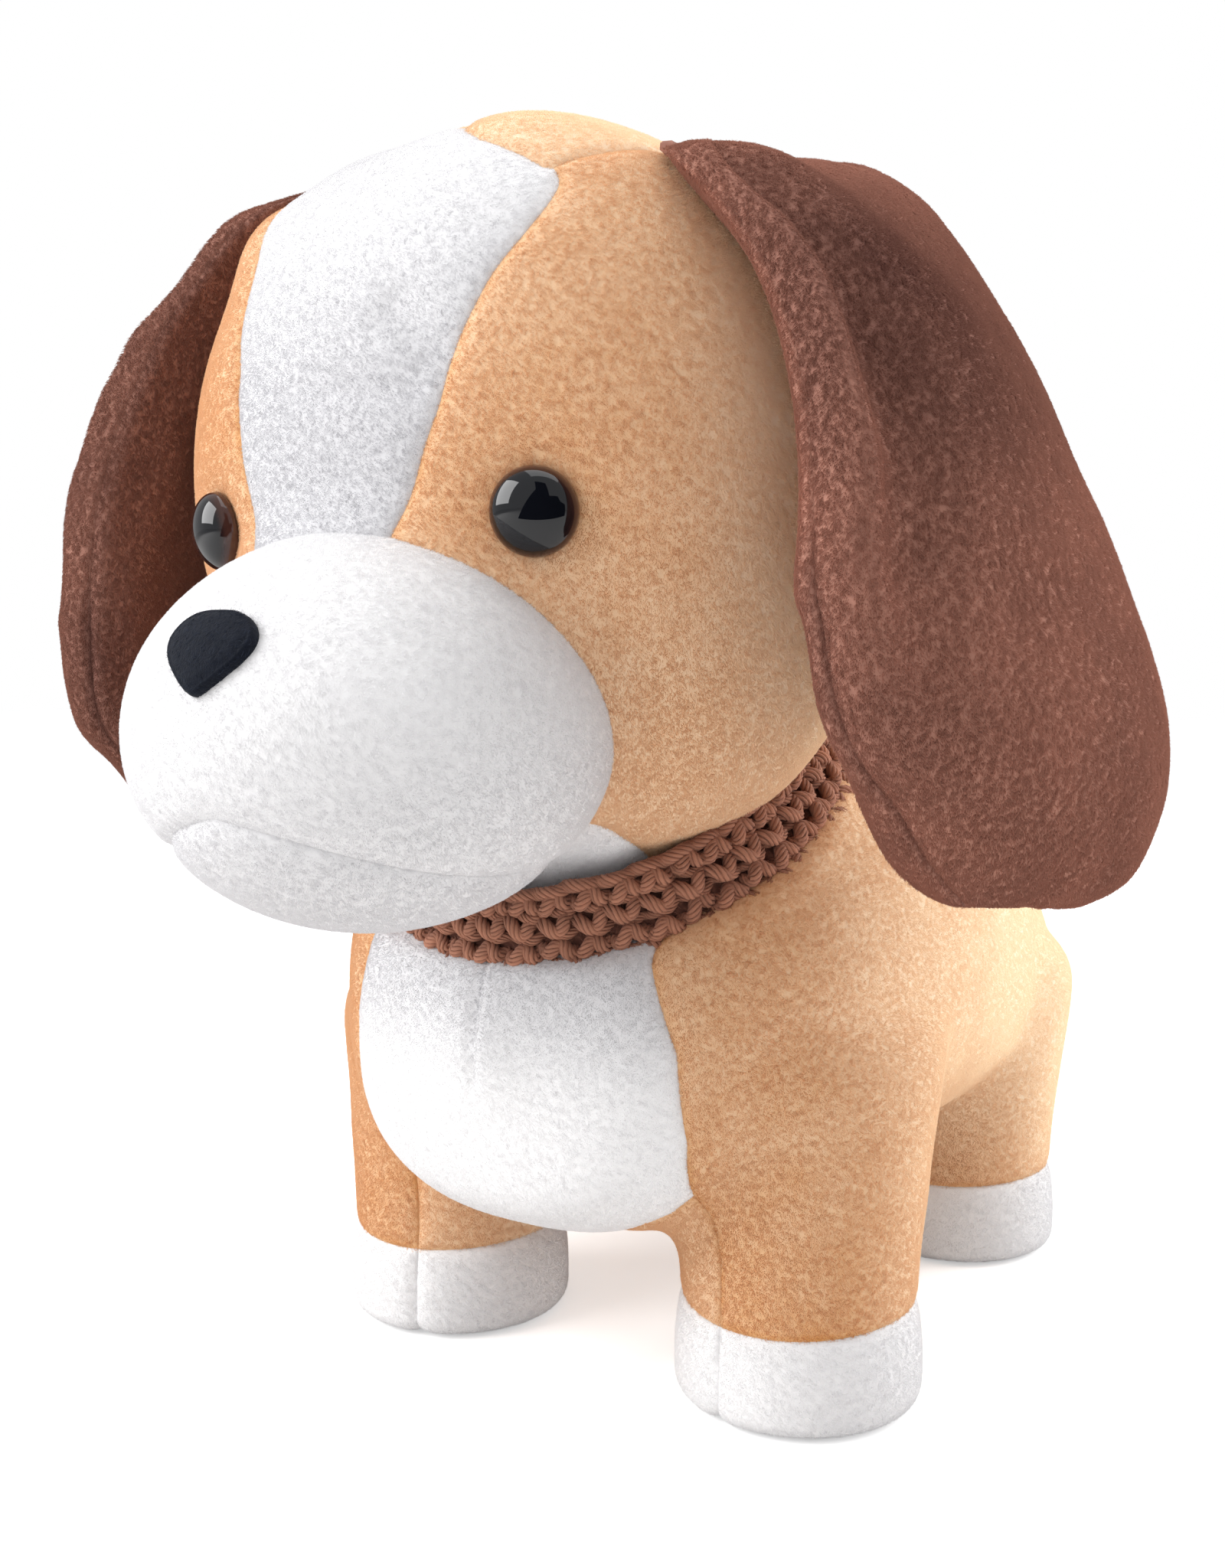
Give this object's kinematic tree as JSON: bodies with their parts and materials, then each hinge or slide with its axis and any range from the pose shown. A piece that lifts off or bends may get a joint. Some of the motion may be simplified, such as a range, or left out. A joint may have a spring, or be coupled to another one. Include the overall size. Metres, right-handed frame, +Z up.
{
  "type": "plush dog",
  "caption": "Stuffed standing toy dog with a big round head, floppy ears, four stub legs, plastic eyes, felt nose and a crocheted collar.",
  "frame": {"origin": "on the ground, under the middle of the toy's bounding box", "axes": "+Z up, the dog faces -Y, its left side is +X"},
  "size_m": [0.2234, 0.2749, 0.2436],
  "materials": {
    "tan_plush": "short pile plush",
    "white_plush": "short pile plush",
    "brown_plush": "short pile plush",
    "crochet_yarn": "single crochet cotton yarn",
    "nose_felt": "felt",
    "eye_plastic": "gloss",
    "washer_plastic": "moulded",
    "thread": "upholstery thread",
    "stuffing": "loose polyester fibre"
  },
  "bodies": {
    "torso": {"body_filling": "stuffing", "body_side_left": "tan_plush", "body_side_right": "tan_plush", "chest_panel": "white_plush", "neck_thread": "thread", "neck_wad": "stuffing", "paw_front_left_inner": "white_plush", "paw_front_left_outer": "white_plush", "paw_front_right_inner": "white_plush", "paw_front_right_outer": "white_plush", "paw_rear_left_inner": "white_plush", "paw_rear_left_outer": "white_plush", "paw_rear_right_inner": "white_plush", "paw_rear_right_outer": "white_plush", "sole_front_left": "white_plush", "sole_front_right": "white_plush", "sole_rear_left": "white_plush", "sole_rear_right": "white_plush", "underbody_panel": "tan_plush"},
    "head": {"chin_panel": "white_plush", "eye_left": "eye_plastic", "eye_right": "eye_plastic", "eye_washer_left": "washer_plastic", "eye_washer_right": "washer_plastic", "forehead_stripe": "white_plush", "head_back_left": "tan_plush", "head_back_right": "tan_plush", "head_face_left": "tan_plush", "head_face_right": "tan_plush", "head_filling": "stuffing", "muzzle_top": "white_plush", "nose_felt": "nose_felt", "throat_panel": "white_plush"},
    "left_ear": {"ear_left_inner": "brown_plush", "ear_left_outer": "brown_plush", "ear_left_wadding": "stuffing"},
    "right_ear": {"ear_right_inner": "brown_plush", "ear_right_outer": "brown_plush", "ear_right_wadding": "stuffing"},
    "collar_band": {"collar": "crochet_yarn"},
    "tail": {"tail_cover_left": "tan_plush", "tail_cover_right": "tan_plush", "tail_filling": "stuffing"}
  },
  "joints": [
    {"name": "head_turn", "type": "hinge", "parent": "torso", "child": "head", "pos_m": [0, -0.02574, 0.118], "axis": [0, -0.515, 0.8572], "range_deg": [-20, 20], "stiffness_Nm_per_rad": 0.3},
    {"name": "left_ear_flap", "type": "hinge", "parent": "head", "child": "left_ear", "pos_m": [0.0395, -0.04724, 0.2345], "axis": [0, -1, 0], "range_deg": [-6, 75]},
    {"name": "right_ear_flap", "type": "hinge", "parent": "head", "child": "right_ear", "pos_m": [-0.0395, -0.04724, 0.2345], "axis": [0, 1, 0], "range_deg": [-6, 75]},
    {"name": "collar_turn", "type": "hinge", "parent": "torso", "child": "collar_band", "pos_m": [0, -0.02574, 0.118], "axis": [0, -0.515, 0.8572], "continuous": true},
    {"name": "tail_wag", "type": "hinge", "parent": "torso", "child": "tail", "pos_m": [0, 0.11315, 0.09978], "axis": [0, 0, 1], "range_deg": [-30, 30], "stiffness_Nm_per_rad": 0.02}
  ]
}
